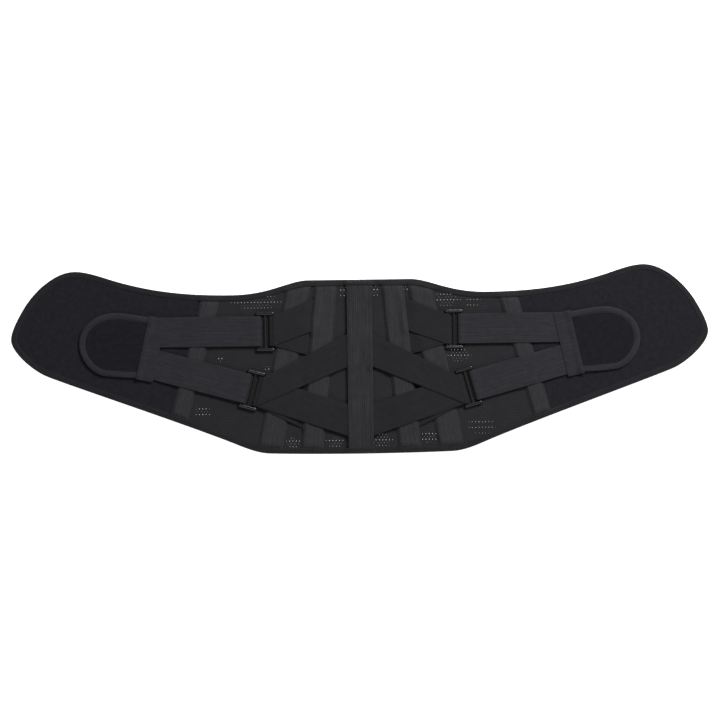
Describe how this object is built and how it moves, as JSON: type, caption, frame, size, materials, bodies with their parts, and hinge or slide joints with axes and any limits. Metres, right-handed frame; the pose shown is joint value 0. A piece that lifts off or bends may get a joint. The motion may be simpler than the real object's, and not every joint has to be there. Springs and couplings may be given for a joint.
{
  "type": "lumbar support belt",
  "caption": "Wide contoured back brace laid flat: perforated back panel with stay pockets, tapering closure wings, buckled cross webbing and elastic side pulls with peel-off tabs.",
  "frame": {"origin": "middle of the belt's outline on the surface that it lies on", "axes": "+X along the belt towards the right-hand wing as seen on its outer face, +Y up the wearer's back, +Z out of the outer face"},
  "size_m": [0.902, 0.2406, 0.0114],
  "materials": {
    "loop_fabric": "brushed loop knit laminated to foam, very matt",
    "mesh_fabric": "open spacer mesh with rows of round holes, matt",
    "binding_tape": "folded stretch tape, soft sheen",
    "tab_tape": "folded stretch tape, soft sheen",
    "pocket_tape": "woven tube tape, matt",
    "ribbed_tape": "lengthwise ribbed woven tape, soft sheen",
    "webbing": "flat woven webbing, matt",
    "ribbed_elastic": "knitted elastic with fine lengthwise ribs",
    "tab_face": "brushed loop knit, very matt",
    "hook_tape": "hook tape, dense fine hooks",
    "buckle_plastic": "moulded, semi-gloss",
    "stay_steel": "flat spring steel, satin"
  },
  "bodies": {
    "back": {"back_binding_bottom": "binding_tape", "back_binding_top": "binding_tape", "back_mesh_panel": "mesh_fabric", "centre_cover_band": "ribbed_tape", "centre_pocket": "pocket_tape", "centre_stay": "stay_steel", "left_inner_pocket": "pocket_tape", "left_inner_stay": "stay_steel", "left_lower_elastic": "ribbed_elastic", "left_lower_webbing": "webbing", "left_mid_pocket": "pocket_tape", "left_mid_stay": "stay_steel", "left_side_pocket": "pocket_tape", "left_side_stay": "stay_steel", "left_upper_elastic": "ribbed_elastic", "left_upper_webbing": "webbing", "right_inner_pocket": "pocket_tape", "right_inner_stay": "stay_steel", "right_lower_elastic": "ribbed_elastic", "right_lower_webbing": "webbing", "right_mid_pocket": "pocket_tape", "right_mid_stay": "stay_steel", "right_side_pocket": "pocket_tape", "right_side_stay": "stay_steel", "right_upper_elastic": "ribbed_elastic", "right_upper_webbing": "webbing"},
    "left_wing": {"front_hook_patch": "hook_tape", "left_wing_binding": "binding_tape", "left_wing_panel": "loop_fabric"},
    "left_pull": {"left_cross_strip": "tab_tape"},
    "left_lower_buckle_frame": {"left_lower_buckle": "buckle_plastic"},
    "left_tab": {"left_tab_binding": "tab_tape", "left_tab_hook": "hook_tape", "left_tab_pad": "tab_face"},
    "left_upper_buckle_frame": {"left_upper_buckle": "buckle_plastic"},
    "right_pull": {"right_cross_strip": "tab_tape"},
    "right_lower_buckle_frame": {"right_lower_buckle": "buckle_plastic"},
    "right_tab": {"right_tab_binding": "tab_tape", "right_tab_hook": "hook_tape", "right_tab_pad": "tab_face"},
    "right_upper_buckle_frame": {"right_upper_buckle": "buckle_plastic"},
    "right_wing": {"right_wing_binding": "binding_tape", "right_wing_panel": "loop_fabric"}
  },
  "joints": [
    {"name": "right_wing_wrap", "type": "hinge", "parent": "back", "child": "right_wing", "pos_m": [0.22753, 0.00345, 0], "axis": [-0.2656, 0.9641, 0], "range_deg": [0, 100], "deforming": ["right_upper_elastic", "right_lower_elastic"]},
    {"name": "left_wing_wrap", "type": "hinge", "parent": "back", "child": "left_wing", "pos_m": [-0.22753, 0.00345, 0], "axis": [-0.2656, -0.9641, 0], "range_deg": [0, 100], "deforming": ["left_upper_elastic", "left_lower_elastic"]},
    {"name": "right_pull_stretch", "type": "slide", "parent": "right_wing", "child": "right_pull", "axis": [1, 0, 0], "range_m": [0, 0.04], "stiffness_N_per_m": 150},
    {"name": "left_pull_stretch", "type": "slide", "parent": "left_wing", "child": "left_pull", "axis": [-1, 0, 0], "range_m": [0, 0.04], "stiffness_N_per_m": 150},
    {"name": "right_tab_peel", "type": "hinge", "parent": "right_pull", "child": "right_tab", "pos_m": [0.28103, 0.02115, 0.0116], "axis": [0.2164, -0.9763, 0], "range_deg": [0, 150]},
    {"name": "left_tab_peel", "type": "hinge", "parent": "left_pull", "child": "left_tab", "pos_m": [-0.28103, 0.02115, 0.0116], "axis": [0.2164, 0.9763, 0], "range_deg": [0, 150]},
    {"name": "right_upper_buckle_tilt", "type": "hinge", "parent": "back", "child": "right_upper_buckle_frame", "pos_m": [0.1123, 0.04, 0.0071], "axis": [0, -1, 0], "range_deg": [0, 25]},
    {"name": "right_lower_buckle_tilt", "type": "hinge", "parent": "back", "child": "right_lower_buckle_frame", "pos_m": [0.13074, -0.03812, 0.0071], "axis": [0.2622, -0.965, 0], "range_deg": [0, 25]},
    {"name": "left_upper_buckle_tilt", "type": "hinge", "parent": "back", "child": "left_upper_buckle_frame", "pos_m": [-0.1123, 0.04, 0.0071], "axis": [0, 1, 0], "range_deg": [0, 25]},
    {"name": "left_lower_buckle_tilt", "type": "hinge", "parent": "back", "child": "left_lower_buckle_frame", "pos_m": [-0.13074, -0.03812, 0.0071], "axis": [0.2622, 0.965, 0], "range_deg": [0, 25]}
  ]
}
